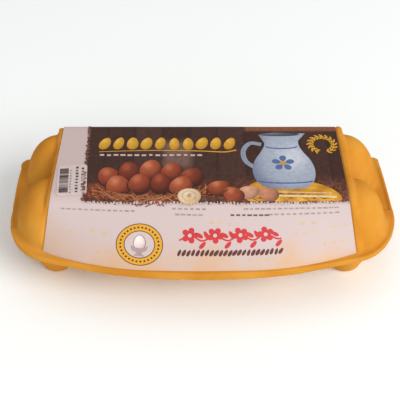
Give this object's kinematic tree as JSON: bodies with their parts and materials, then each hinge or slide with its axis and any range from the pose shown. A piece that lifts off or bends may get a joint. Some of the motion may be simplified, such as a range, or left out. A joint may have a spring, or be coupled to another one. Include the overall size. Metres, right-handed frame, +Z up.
{
  "type": "egg carton",
  "caption": "Shut foam egg carton with a flat-topped lid, rounded egg domes at the ends, a lipped rim, tapered cups below and a paper label over the top and down the front.",
  "frame": {"origin": "centre of the carton's plan, on the plane its cups stand on", "axes": "+X along the length, +Y towards the hinge side, +Z up out of the lid"},
  "size_m": [0.2451, 0.1124, 0.0667],
  "materials": {
    "carton": "satin yellow-orange polystyrene foam",
    "label": "satin printed paper",
    "sticker": "matt white label paper"
  },
  "bodies": {
    "root": {"carton": "carton", "label": "label", "sticker": "sticker"}
  },
  "joints": []
}
